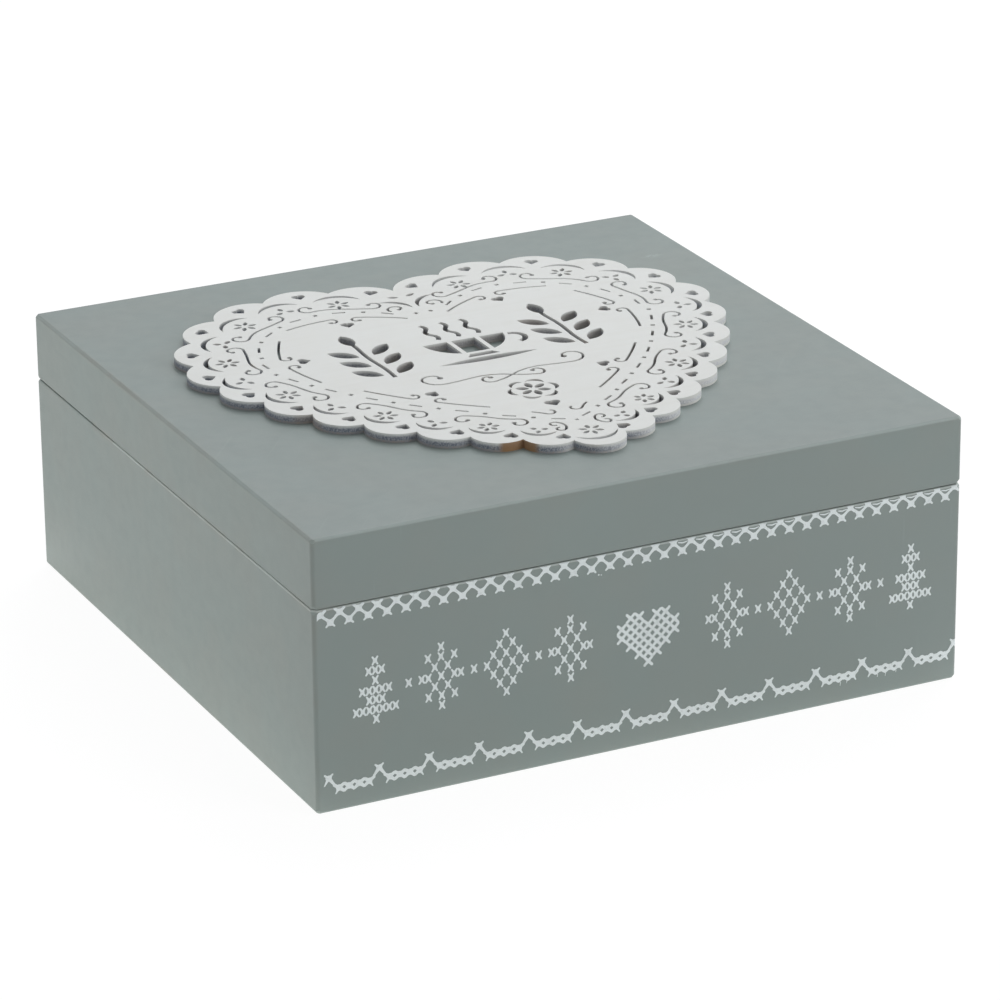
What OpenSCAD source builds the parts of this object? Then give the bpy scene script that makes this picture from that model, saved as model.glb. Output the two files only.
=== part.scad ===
// Square wooden keeper box for tea bags: four compartments under a shallow hinged lid,
// with a lace-edged plywood heart glued on the lid.
// Frame: +Z up, the front faces -Y, the origin is the middle of the underside.

/* [Box] */
// Outside width, left to right
box_w = 170; // [160:1:200]
// Outside depth, front to back, without the hinges
box_d = 170; // [160:1:200]
// Outside height with the lid shut, without the heart
box_h = 68; // [60:1:90]
// Thickness of the side boards and lid rails
wall = 8; // [7:0.5:10]
// Radius of the sanded upright corners
corner_r = 1; // [0.6:0.1:3]
// Length that sanding takes off each edge at the tips of the corners
tip_loss = 1.5; // [0.8:0.1:2.5]

/* [Base] */
// Thickness of the bottom panel
bottom_t = 4; // [3:0.5:6]
// Radius sanded on the lower edges
bottom_edge_r = 0.8; // [0.4:0.1:2]
// Thickness of the compartment dividers
divider_t = 4; // [3:0.5:5]
// How far the dividers stay below the rim
divider_drop = 3; // [0:0.5:10]
// Depth of the upright housings that hold the divider ends
housing_depth = 3; // [2:0.5:4]

/* [Lid] */
// Height of the lid, without the heart
lid_h = 17.3; // [14:0.1:20]
// Thickness of the lid panel
lid_panel_t = 5; // [4:0.5:6]
// Radius sanded on the top edges
top_edge_r = 0.8; // [0.4:0.1:2]
// Gap between the rim and the lid
seam = 0.25; // [0.2:0.05:0.6]
// Radius sanded on the two edges of the seam
seam_edge_r = 0.4; // [0.2:0.1:0.6]

/* [Hinges] */
// Distance from the middle of the box to the middle of a hinge
hinge_x = 50; // [35:1:55]
// Length of a hinge
hinge_len = 25; // [20:1:30]
// Height of one leaf, from the axis
leaf_h = 9; // [8:0.5:10]
// Thickness of the leaf metal
leaf_t = 0.8; // [0.6:0.1:1]
// Outer radius of the knuckles
knuckle_r = 1.5; // [1.4:0.1:1.8]
// Radius of the hinge pin
pin_r = 0.75; // [0.6:0.05:0.8]
// Distance between the two screws of a leaf
screw_pitch = 16; // [14:1:17]

/* [Heart] */
// Thickness of the plywood heart
heart_t = 2.2; // [1.5:0.1:4]
// Radius of the heart's two round shoulders, on the line of the eyelets
shoulder_r = 39.5; // [38:0.5:41]
// Distance of the shoulder centres from the middle
shoulder_x = 26; // [25:0.5:27]
// Radius of the long sides of the heart, on the line of the eyelets
side_r = 117.5; // [110:0.5:130]
// Width of the thin scroll lines
line_w = 0.7; // [0.5:0.05:0.8]

/* [Hidden] */
$fn = 48;

paint = [0.50, 0.54, 0.52];
bare_wood = [0.80, 0.66, 0.47];
whitewash = [0.87, 0.87, 0.87];
brass = [0.80, 0.62, 0.30];

rim_z = box_h - lid_h;
rail_top = box_h - lid_panel_t;
board_h = rim_z - bottom_t;
rail_z = rim_z + seam;
rail_h = rail_top - rail_z;
divider_h = board_h - divider_drop;
slide_fit = 0.1;
cut = 1;

// ---------- boards ----------

// What a rounded-off corner at the origin loses; the corner points to -x, -y
module edge_loss(r) {
    difference() {
        translate([-cut, -cut]) square(r + cut);
        translate([r, r]) circle(r);
    }
}

// Plan of the box, with its sanded upright corners
module plan() {
    difference() {
        square([box_w, box_d], center = true);
        for (x = [0, 1])
            for (y = [0, 1])
                mirror([x, 0])
                    mirror([0, y])
                        translate([-box_w / 2, -box_d / 2]) edge_loss(corner_r);
    }
}

// Plan of the side on -Y of a frame with mitred corners
module mitre_plan(width, depth) {
    polygon([[-width / 2, -depth / 2], [width / 2, -depth / 2],
             [width / 2 - wall, wall - depth / 2], [wall - width / 2, wall - depth / 2]]);
}

// One mitred side, on -Y, with its outer edge at the seam sanded round
module mitred_side(width, depth, z, height, seam_on_top) {
    difference() {
        translate([0, 0, z]) linear_extrude(height) mitre_plan(width, depth);
        translate([-width / 2 - cut, -depth / 2, seam_on_top ? z + height : z])
            rotate([90, 0, 90])
                linear_extrude(width + 2 * cut)
                    mirror([0, seam_on_top ? 1 : 0]) edge_loss(seam_edge_r);
    }
}

// Pilot holes for the hinge screws of the base, or of the lid where up is 1
module pilot_holes(up) {
    for (x = [-hinge_x, hinge_x])
        translate([x, axis_y, axis_z])
            mirror([0, 0, up])
                screw_places()
                    translate([0, 0, -screw_len - slide_fit])
                        cylinder(r = screw_shank_r + slide_fit / 2, h = screw_len);
}

// Keeps what lies inside the rounded plan of the box
module in_plan(z, height) {
    intersection() {
        translate([0, 0, z - cut]) linear_extrude(height + 2 * cut) plan();
        children();
    }
}

// Sands off the tips of the four corners of a face at height z that looks up (1) or down (-1)
module eased_tips(z, up) {
    depth = tip_loss / sqrt(3);
    tilt = up * atan(sqrt(1 / 2));
    block = 4 * tip_loss;
    difference() {
        children();
        for (x = [-1, 1])
            for (y = [-1, 1])
                translate([x * box_w / 2, y * box_d / 2, z])
                    rotate([0, 0, atan2(y, x)])
                        rotate([0, -tilt, 0])
                            translate([-depth, -block / 2, -block / 2])
                                cube(block);
    }
}

// Upright housing in the middle of the -Y side for a divider end
module housing_cut(depth) {
    translate([-divider_t / 2 - slide_fit, wall - housing_depth - depth / 2, bottom_t - cut])
        cube([divider_t + 2 * slide_fit, housing_depth + cut, board_h + 2 * cut]);
}

module base_side(turn, width, depth) {
    eased_tips(rim_z, 1)
        in_plan(bottom_t, board_h)
            rotate(turn)
                difference() {
                    mitred_side(width, depth, bottom_t, board_h, true);
                    housing_cut(depth);
                }
}

module lid_side(turn, width, depth) {
    eased_tips(rail_z, -1)
        in_plan(rail_z, rail_h)
            rotate(turn)
                mitred_side(width, depth, rail_z, rail_h, false);
}

// Flat panel over the whole plan; z is its outer face, and up is 1 or -1
module panel(z, thick, edge_r, up) {
    lift = (up > 0) ? z - thick : z;
    eased_tips(z, up)
        intersection() {
            translate([0, 0, lift]) linear_extrude(thick) plan();
            panel_bar(0, box_w, z, thick + cut, edge_r, up);
            panel_bar(90, box_d, z, thick + cut, edge_r, up);
        }
}

// Long bar with the section of a panel, turned about the middle of the box
module panel_bar(turn, width, z, thick, edge_r, up) {
    rotate(turn)
        translate([0, 0, z])
            rotate([90, 0, 0])
                translate([0, 0, -box_w])
                    linear_extrude(2 * box_w)
                        panel_section(width, thick, edge_r, up);
}

// Section through a panel whose outer face is on y = 0
module panel_section(width, thick, edge_r, up) {
    mirror([0, up > 0 ? 1 : 0])
        difference() {
            translate([-width / 2, 0]) square([width, thick]);
            for (m = [0, 1])
                mirror([m, 0]) translate([-width / 2, 0]) edge_loss(edge_r);
        }
}

module front_board() { color(paint) base_side(0, box_w, box_d); }
module back_board() {
    color(paint)
        difference() {
            base_side(180, box_w, box_d);
            pilot_holes(0);
        }
}
module left_board() { color(paint) base_side(-90, box_d, box_w); }
module right_board() { color(paint) base_side(90, box_d, box_w); }
module bottom_panel() { color(paint) panel(0, bottom_t, bottom_edge_r, -1); }
module lid_front_rail() { color(paint) lid_side(0, box_w, box_d); }
module lid_back_rail() {
    color(paint)
        difference() {
            lid_side(180, box_w, box_d);
            pilot_holes(1);
        }
}
module lid_left_rail() { color(paint) lid_side(-90, box_d, box_w); }
module lid_right_rail() { color(paint) lid_side(90, box_d, box_w); }
module lid_panel() { color(paint) panel(box_h, lid_panel_t, top_edge_r, 1); }

// ---------- dividers ----------

// A divider between two housings, half cut through where the other one crosses it
module divider(inside, notch_at_top) {
    length = inside + 2 * (housing_depth - slide_fit);
    notch_w = divider_t + 2 * slide_fit;
    notch_h = divider_h / 2 + slide_fit;
    difference() {
        translate([-length / 2, -divider_t / 2, bottom_t])
            cube([length, divider_t, divider_h]);
        translate([-notch_w / 2, -divider_t, notch_at_top ? bottom_t + divider_h - notch_h : 0])
            cube([notch_w, 2 * divider_t, notch_at_top ? box_h : bottom_t + notch_h]);
    }
}

module long_divider() { color(bare_wood) divider(box_w - 2 * wall, true); }
module cross_divider() { color(bare_wood) rotate(90) divider(box_d - 2 * wall, false); }

// ---------- hinges ----------

knuckle_gap = 0.2;
axis_y = box_d / 2 + knuckle_r + knuckle_gap;
axis_z = rim_z + seam / 2;
outer_knuckle = 0.32 * hinge_len;
middle_knuckle = hinge_len - 2 * (outer_knuckle + knuckle_gap);
bore_r = pin_r + 0.03;
leaf_corner = 1.5;
leaf_top = 2;
screw_head_r = 1.4;
screw_head_h = 0.7;
screw_shank_r = 0.7;
screw_len = 6;
screw_drop = (leaf_h + leaf_top) / 2;
slot_w = 0.4;
slot_depth = 0.35;

// Tube along X for one knuckle, joined to the plate by a web flush with the plate's back
module knuckle(x, length) {
    translate([x, 0, 0])
        rotate([90, 0, 90])
            linear_extrude(length)
                difference() {
                    union() {
                        circle(knuckle_r);
                        translate([box_d / 2 - axis_y, -leaf_top - cut / 2])
                            square([leaf_t, leaf_top + cut / 2]);
                    }
                    circle(bore_r);
                }
}

// Plate on the back of the box, hanging below the axis, with countersunk screw holes
module leaf_plate() {
    plate_h = leaf_h - leaf_top;
    difference() {
        translate([0, box_d / 2 - axis_y + leaf_t, -leaf_h])
            rotate([90, 0, 0])
                linear_extrude(leaf_t)
                    difference() {
                        translate([-hinge_len / 2, 0]) square([hinge_len, plate_h]);
                        for (m = [0, 1])
                            mirror([m, 0]) translate([-hinge_len / 2, 0]) edge_loss(leaf_corner);
                    }
        screw_places() {
            cylinder(r = screw_shank_r + slide_fit / 2, h = 2 * leaf_t + cut, center = true);
            screw_head();
        }
    }
}

// The two screw places of a leaf; z = 0 is the face of the plate, and +Z points out of the box
module screw_places() {
    for (x = [-screw_pitch / 2, screw_pitch / 2])
        translate([x, box_d / 2 - axis_y + leaf_t, -screw_drop])
            rotate([-90, 0, 0])
                children();
}

module base_leaf(x) {
    color(brass)
        translate([x, axis_y, axis_z])
            union() {
                leaf_plate();
                knuckle(-hinge_len / 2, outer_knuckle);
                knuckle(hinge_len / 2 - outer_knuckle, outer_knuckle);
            }
}

module lid_leaf(x) {
    color(brass)
        translate([x, axis_y, axis_z])
            mirror([0, 0, 1])
                union() {
                    leaf_plate();
                    knuckle(-middle_knuckle / 2, middle_knuckle);
                }
}

// Pin with both ends peened into low domes outside the knuckles
module hinge_pin(x) {
    peen_r = pin_r + 0.35;
    peen_h = 0.4;
    color(brass)
        translate([x, axis_y, axis_z])
            rotate([0, 90, 0])
                union() {
                    cylinder(r = pin_r, h = hinge_len, center = true);
                    for (m = [0, 1])
                        mirror([0, 0, m])
                            translate([0, 0, hinge_len / 2])
                                cylinder(r1 = peen_r, r2 = pin_r - 0.2, h = peen_h);
                }
}

// Countersunk head; z = 0 is its flat
module screw_head() {
    translate([0, 0, -screw_head_h])
        cylinder(r1 = screw_shank_r, r2 = screw_head_r, h = screw_head_h);
}

// Slotted wood screw; z = 0 is the flat of its head
module wood_screw() {
    tip_h = 1.5;
    difference() {
        union() {
            screw_head();
            translate([0, 0, tip_h - screw_len])
                cylinder(r = screw_shank_r, h = screw_len - tip_h - screw_head_h);
            translate([0, 0, -screw_len])
                cylinder(r1 = 0.1, r2 = screw_shank_r, h = tip_h);
        }
        translate([-screw_head_r * 2, -slot_w / 2, -slot_depth])
            cube([screw_head_r * 4, slot_w, cut]);
    }
}

module base_hinge_screws() {
    color(brass)
        for (x = [-hinge_x, hinge_x])
            translate([x, axis_y, axis_z])
                screw_places() wood_screw();
}

module lid_hinge_screws() {
    color(brass)
        for (x = [-hinge_x, hinge_x])
            translate([x, axis_y, axis_z])
                mirror([0, 0, 1])
                    screw_places() wood_screw();
}

module base_hinge_leaf_left() { base_leaf(-hinge_x); }
module base_hinge_leaf_right() { base_leaf(hinge_x); }
module lid_hinge_leaf_left() { lid_leaf(-hinge_x); }
module lid_hinge_leaf_right() { lid_leaf(hinge_x); }
module hinge_pin_left() { hinge_pin(-hinge_x); }
module hinge_pin_right() { hinge_pin(hinge_x); }

// ---------- heart ----------

// The line of the eyelets is a heart of arcs: a round shoulder and a long side on each half.
// A place on the right half is named by the angle of the outward normal there.
shoulder_y = 19.6;
join_angle = -20.5;
shoulder_c = [shoulder_x, shoulder_y];
side_c = shoulder_c + (shoulder_r - side_r) * [cos(join_angle), sin(join_angle)];
notch_angle = 180 - acos(shoulder_x / shoulder_r);
crowding = 0.24;
first_eyelet = 0.6;
last_eyelet = 13.7;
// Scallops on each half of the outline; the half one is shared at the tip
scallops = 13.5;

function rad(angle) = angle * PI / 180;
function deg(angle) = angle * 180 / PI;
function clamp(v) = max(0, min(1, v));
function dir(angle) = [cos(angle), sin(angle)];
function shoulder_len(off) = rad(notch_angle - join_angle) * (shoulder_r + off);

// Point whose outward normal has this angle, moved outward by off
function heart_at(angle, off) = angle > join_angle
    ? shoulder_c + (shoulder_r + off) * dir(angle)
    : side_c + (side_r + off) * dir(angle);

// Distance from the notch along the heart moved outward by off, and its inverse
function travel(angle, off) = angle > join_angle
    ? rad(notch_angle - angle) * (shoulder_r + off)
    : shoulder_len(off) + rad(join_angle - angle) * (side_r + off);
function angle_at(d, off) = d < shoulder_len(off)
    ? notch_angle - deg(d / (shoulder_r + off))
    : join_angle - deg((d - shoulder_len(off)) / (side_r + off));

// Angle a distance x further on, and the angle of the tip of the heart moved outward by off
function further(angle, x, off) = angle_at(travel(angle, off) + x, off);
function tip_angle(off) = -acos(-side_c[0] / (side_r + off));

heart_len = travel(tip_angle(0), 0);

// The scallops and the lace crowd together a little towards the tip
function spread(t) = t * (1 + crowding * (1 - t));
function lace_d(k) = heart_len * spread((k - first_eyelet) / (last_eyelet - first_eyelet));
function lace_pitch(k) = lace_d(k + 0.5) - lace_d(k - 0.5);

// Offset that changes from one value on the shoulders to another on the long sides
function graded(angle, upper, lower, change = 50) =
    upper + (lower - upper) * clamp((10 - angle) / change);

// Points of arcs joined end to end from p; a leg is [radius, angle], and a positive angle
// turns left where side is 1 and right where it is -1
function walk(p, heading, side, legs, i = 0) = i == len(legs) ? [] :
    let (a = side * legs[i][1],
         r = sign(a) * legs[i][0],
         steps = ceil(max(abs(a) / 24, abs(rad(a) * r) / 3.5)),
         path = [for (n = [1:steps]) p + r * [sin(heading + a * n / steps) - sin(heading),
                                              cos(heading) - cos(heading + a * n / steps)]])
    concat(path, walk(path[steps - 1], heading + a, side, legs, i + 1));

function reversed(path) = [for (i = [len(path) - 1:-1:0]) path[i]];
function across(path, i) =
    let (v = path[min(i + 1, len(path) - 1)] - path[max(i - 1, 0)]) [-v[1], v[0]] / norm(v);

// A line of even width along a path
module scroll(path, width = line_w) {
    last = len(path) - 1;
    polygon(concat([for (i = [0:last]) path[i] + across(path, i) * width / 2],
                   [for (i = [last:-1:0]) path[i] - across(path, i) * width / 2]));
}

// Puts children on the heart with +Y pointing outward
module on_heart(angle, off) {
    translate(heart_at(angle, off)) rotate(angle - 90) children();
}

// Pointed oval along X
module leaf(length, width) {
    r = (length * length + width * width) / (4 * width);
    intersection() {
        translate([0, r - width / 2]) circle(r, $fn = 144);
        translate([0, width / 2 - r]) circle(r, $fn = 144);
    }
}

// Small heart with its point on -Y, drawn as a square on its corner with two half discs
module little_heart(side) {
    rotate(45) square(side, center = true);
    for (m = [0, 1])
        mirror([m, 0]) rotate(45) translate([0, side / 2]) circle(side / 2);
}

// Ring of leaves between two radii
module petals(count, inner, outer, width, first = 90) {
    for (i = [0:count - 1])
        rotate(first + i * 360 / count)
            translate([(inner + outer) / 2, 0]) leaf(outer - inner, width);
}

// New moon whose back is on +Y; a flatter inside makes it shorter
module crescent(r, thick, flatter) {
    difference() {
        circle(r);
        translate([0, r - thick - flatter * r]) circle(flatter * r);
    }
}

module sprig(reach) {
    core = 0.6;
    for (a = [90, 200, 340])
        rotate(a) translate([(reach + core) / 2, 0]) leaf(reach - core, 1.3);
}

// Scroll under a flower, with a hook at each end that curls outward
module flower_scroll(k) {
    middle = angle_at(lace_d(k), 0);
    reach = 7.25 * sqrt(lace_pitch(k) / 16);
    sway = 0.7;
    notch_lift = 1.2;
    off = graded(middle, -12.4, -9.8, 30) + notch_lift * clamp((middle - 80) / 27);
    steps = 8;
    rail = [for (i = [-steps / 2:steps / 2])
            let (f = 2 * i / steps)
            heart_at(further(middle, f * reach, off), off + sway * f * (1 - abs(f)) * 2)];
    hook = [[2.1, 150], [1.4, 120]];
    start = further(middle, -reach, off);
    end = further(middle, reach, off);
    head = walk(rail[0], start + 90, -1, hook);
    tail = walk(rail[steps], end - 90, 1, hook);
    scroll(concat(reversed(head), rail, tail));
    for (knot = [head, tail])
        translate(knot[len(knot) - 1]) circle(0.65);
}

// Bracket over a small heart: two long lines that curl inward at their near ends
module bracket(angle, off, turn, tilt, bow) {
    near = 3.6;
    height = 5.2;
    reach = 12.8;
    translate(heart_at(angle, off))
        rotate(angle - 90 + turn) {
            little_heart(2.1);
            for (side = [-1, 1]) {
                start = [side * near, height];
                arm = walk(start, 90 - side * (90 + tilt), side, [[bow, -deg(reach / bow)]]);
                curl = walk(start, 90 + side * (90 - tilt), side, [[1.4, 150], [0.9, 90]]);
                scroll(concat(reversed(arm), [start], curl));
                translate(curl[len(curl) - 1]) circle(0.65);
            }
        }
}

// Ring of dashes and dots inside the scrolls, evenly spaced along a guide line
module stitch_ring() {
    start = 147;
    marks = 26;
    upper = -15.9;
    lower = -12.9;
    top_lift = 2;
    notch_lift = 3;
    tip_drop = 2.4;
    guide = -16.2;
    first = travel(start, guide);
    step = (travel(tip_angle(lower), guide) - first) / (marks - 0.5);
    for (n = [0:marks - 1]) {
        angle = angle_at(first + n * step, guide);
        ends = top_lift * clamp((angle - 50) / 45)
             + notch_lift * clamp((angle - 134) / 13)
             + tip_drop * clamp((-48 - angle) / 14);
        on_heart(angle, graded(angle, upper, lower, 30) + ends)
            if (n % 2 == 0)
                square(1.1, center = true);
            else
                square([3.4, line_w], center = true);
    }
}

// Everything that is cut through the right half and mirrored on the left
module half_lace() {
    eyelet = 2.1;
    for (k = [1:13]) {
        angle = angle_at(lace_d(k), 0);
        on_heart(angle, graded(angle, 0.2, 0.7, 20)) little_heart(eyelet);
    }
    for (i = [1:12]) {
        k = i + 0.5;
        angle = angle_at(lace_d(k), 0);
        r = 0.37 * lace_pitch(k);
        reach = min(3.2, r - 1.85);
        on_heart(angle, graded(angle, -1.2, 0.9, 20) - r) {
            crescent(r, 1.35, 1.28);
            if (i % 2 == 0)
                translate([0, 0.35]) sprig(reach - 0.35);
            else
                petals(6, 0.8, reach, 1.2);
        }
        if (i % 2 == 1)
            flower_scroll(k);
    }
    stitch_ring();
    bracket(108.4, -23.5, -7.6, 12, 45);
    bracket(-12.1, -24.3, 17, 12, 60);
    bracket(-43, -22, 0, 2, 110);
    notch_lace();
    tip_lace();
    flourish();
}

// Curved wing, curl and leaf below the notch
module notch_lace() {
    translate([6.5, 40.6]) rotate(45) crescent(5.7, 1.3, 1.6);
    curl = walk([6.4, 38.4], 30, 1, [[2, 190], [1.2, 130]]);
    scroll(curl);
    translate(curl[len(curl) - 1]) circle(0.6);
    translate([2.4, 48.3]) rotate(25) leaf(3, 1.3);
}

// Double curl beside the tip's flower, and the short bracket above it
module tip_lace() {
    spine = [4.1, -51.6];
    half = [[3.4, 50], [1.1, 190], [0.7, 60]];
    scroll(concat(reversed(walk(spine, 90, -1, half)), [spine], walk(spine, 270, 1, half)));
    bar = [7.4, -40.2];
    scroll(concat([bar], walk(bar, 218, 1, [[14, 16], [1.4, -160], [0.9, -70]])));
}

// Long scroll under the centre piece, which crosses its mirror image in the middle
module flourish() {
    crossing = [0, -15.2];
    outward = walk(crossing, 36, -1, [[13, 48], [40, -10], [4.2, -80], [2.7, -130], [1.7, -80]]);
    inward = walk(crossing, 214, -1, [[18, 20], [2, 160], [1.1, 110]]);
    scroll(concat(reversed(inward), [crossing], outward));
    translate(outward[len(outward) - 1]) circle(0.8);
    translate(inward[len(inward) - 1]) circle(0.7);
}

// Pieces of lace on the middle line
module middle_lace() {
    translate([0, -57.6]) mirror([0, 1]) crescent(6, 1.3, 1.2);
    translate([0, -57]) petals(6, 0.8, 3.2, 1.2, -90);
    translate([0, -37.4]) little_heart(2.4);
    translate([0, -26.5]) {
        petals(6, 0.9, 4.4, 1.9);
        for (i = [0:5])
            rotate(30 + i * 60) translate([0, 4.4]) crescent(2.3, 1.2, 1.5);
    }
    translate([0, -49.6]) square(0.9, center = true);
}

// Leafy twig on each side of the centre piece
module twig() {
    twig_x = 26;
    base_y = -4;
    root = [twig_x, base_y];
    scroll(concat([root], walk(root, 96, -1, [[50, 12], [50, -12], [30, 8]])), 1.2);
    for (i = [0:2])
        for (m = [-1, 1])
            translate([twig_x + m * 5, base_y + 5.2 + 7.2 * i])
                rotate(90 - m * 45)
                    leaf(8.6, 3.8);
    translate([twig_x, base_y + 28.5]) rotate(90) leaf(8, 3.8);
}

// Steaming cup on its saucer in the middle of the heart
module cup() {
    cup_y = 3.4;
    rim_y = 12.6;
    cup_r = 11;
    flute = 1.2;
    difference() {
        intersection() {
            translate([0, rim_y + 1]) circle(cup_r);
            translate([-cup_r, cup_y]) square([2 * cup_r, rim_y - cup_y]);
        }
        for (m = [-1, 1])
            translate([m * 3.8 - flute / 2, 0]) square([flute, rim_y + 1]);
    }
    translate([0, 0.2]) polygon([[-3, 2], [3, 2], [4.4, 0], [-4.4, 0]]);
    translate([0, -2.2]) leaf(27, 2.8);
    handle = walk([12.3, 5.2], 10, 1, [[3.1, 170]]);
    scroll(concat([[12.3, 5.2]], handle), 1.5);
    for (x = [-5.5, 0, 5.5]) {
        foot = [x, rim_y + 2.4];
        scroll(concat([foot], walk(foot, 45, 1, [[2.6, 90], [2.6, -90], [2.6, 90]])), 1.3);
    }
}

// Outline of the heart with its scallops
module scalloped_heart() {
    edge = 0.3;
    for (m = [0, 1])
        mirror([m, 0]) {
            translate(shoulder_c) circle(shoulder_r + edge);
            for (j = [0:scallops])
                scallop(j);
        }
    intersection() {
        translate(side_c) circle(side_r + edge, $fn = 144);
        mirror([1, 0]) translate(side_c) circle(side_r + edge, $fn = 144);
        translate([-box_w / 2, -box_d]) square([box_w, box_d + heart_at(join_angle, 0)[1]]);
    }
}

module scallop(j) {
    middle = heart_len * spread((j + 0.5) / scallops);
    width = heart_len * (spread((j + 1) / scallops) - spread(j / scallops));
    r = 0.6 * width;
    angle = angle_at(middle, 0);
    on_heart(angle, graded(angle, 5, 6.6) - r) circle(r);
}

module heart_plaque() {
    color(whitewash)
        translate([0, 0, box_h])
            linear_extrude(heart_t)
                difference() {
                    scalloped_heart();
                    for (m = [0, 1])
                        mirror([m, 0]) {
                            half_lace();
                            twig();
                        }
                    middle_lace();
                    cup();
                }
}

front_board();
back_board();
left_board();
right_board();
bottom_panel();
long_divider();
cross_divider();
lid_front_rail();
lid_back_rail();
lid_left_rail();
lid_right_rail();
lid_panel();
heart_plaque();
base_hinge_leaf_left();
base_hinge_leaf_right();
lid_hinge_leaf_left();
lid_hinge_leaf_right();
hinge_pin_left();
hinge_pin_right();
base_hinge_screws();
lid_hinge_screws();
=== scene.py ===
"""Looks of a painted wooden keeper box for tea bags.

Grey-green sanded paint, a white cross-stitch print on the front, a whitewashed fretwork heart on
the lid, bare wood and plywood dividers inside, and two brass hinges at the back.
Lengths are metres in the frame of the construction model. The print is drawn in millimetres.
"""

import math
import random

import bpy
from mathutils import Matrix, Vector
from mathutils.geometry import delaunay_2d_cdt


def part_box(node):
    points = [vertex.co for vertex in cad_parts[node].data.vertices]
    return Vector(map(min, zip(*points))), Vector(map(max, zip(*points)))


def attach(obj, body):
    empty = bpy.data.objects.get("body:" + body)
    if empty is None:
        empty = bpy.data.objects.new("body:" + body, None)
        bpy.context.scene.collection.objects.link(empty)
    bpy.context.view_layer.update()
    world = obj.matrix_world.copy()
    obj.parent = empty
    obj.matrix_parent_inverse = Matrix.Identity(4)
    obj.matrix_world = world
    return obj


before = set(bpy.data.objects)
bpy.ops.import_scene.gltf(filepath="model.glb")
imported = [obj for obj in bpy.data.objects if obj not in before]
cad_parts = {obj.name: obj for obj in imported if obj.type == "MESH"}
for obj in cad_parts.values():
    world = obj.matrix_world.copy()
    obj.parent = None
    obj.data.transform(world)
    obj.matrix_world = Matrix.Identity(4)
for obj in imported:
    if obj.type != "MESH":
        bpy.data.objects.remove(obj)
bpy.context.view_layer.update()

bl_info = {
    "name": "Tea Keeper Box",
    "version": (1, 0, 0),
    "blender": (4, 5, 0),
    "location": "3D View > Sidebar > Keeper Box",
    "description": "Finishes, front print and stage for a painted wooden keeper box",
    "category": "Object",
}

MM = 0.001

# Driving sizes of the box, from the frame
FRONT_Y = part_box("front_board")[0].y
HALF_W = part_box("bottom_panel")[1].x
RIM_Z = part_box("front_board")[1].z
LID_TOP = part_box("lid_panel")[1].z
HEART_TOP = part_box("heart_plaque")[1].z
DIVIDER_T = 2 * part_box("cross_divider")[1].x

# Roundings of the boards
CORNER_R = 1.0 * MM
RIM_R = 0.4 * MM

# Where the paint ends: over the rim, down the edges of the lid panel, and above the underside
LAP, LAP_WAVER, LAP_FADE = 2.8 * MM, 1.6 * MM, 0.3 * MM
PANEL_SKIN, FOOT_SKIN, SKIN_FADE = 1.3 * MM, 1.0 * MM, 0.1 * MM

# The print, in millimetres: its limits, and the lines where it bends round an edge
PRINT_PIVOT = Vector((-83.0, 28.0))
PRINT_LIMITS = ((Vector((1, 0)), HALF_W / MM - 0.12), (Vector((-1, 0)), HALF_W / MM - 1.0),
                (Vector((0, 1)), RIM_Z / MM - 0.1))
CORNER_BENDS = [HALF_W / MM - gap for gap in (1.0, 0.7, 0.45, 0.28)]
RIM_BENDS = [RIM_Z / MM - gap for gap in (0.4, 0.28, 0.18)]
BEND_WIDE, BEND_HIGH = 86.0, 55.0
INK_ROOT = 0.02 * MM

# Orders of the axes, with the run of the grain first
ACROSS = "XYZ"
DEEP = "YXZ"

BASE_ACROSS = ("front_board", "back_board", "bottom_panel")
BASE_DEEP = ("left_board", "right_board")
LID_ACROSS = ("lid_front_rail", "lid_back_rail", "lid_panel")
LID_DEEP = ("lid_left_rail", "lid_right_rail")
LEAF_NODES = ("base_hinge_leaf_left", "base_hinge_leaf_right",
              "lid_hinge_leaf_left", "lid_hinge_leaf_right")
PIN_NODES = ("hinge_pin_left", "hinge_pin_right")
SCREW_NODES = ("base_hinge_screws", "lid_hinge_screws")

# Cross-stitch motifs, one letter x for each stitch
TREE = ("...x...",
        "..xxx..",
        "...x...",
        ".xxxxx.",
        "..xxx..",
        "xxxxxxx",
        "...x...")
STAR = ("...x...",
        ".x.x.x.",
        "..x.x..",
        "xx.x.xx",
        "..x.x..",
        ".x.x.x.",
        "...x...")
LATTICE = ("...x...",
           "..x.x..",
           ".x.x.x.",
           "x.x.x.x",
           ".x.x.x.",
           "..x.x..",
           "...x...")


# ---- node trees ----

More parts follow.
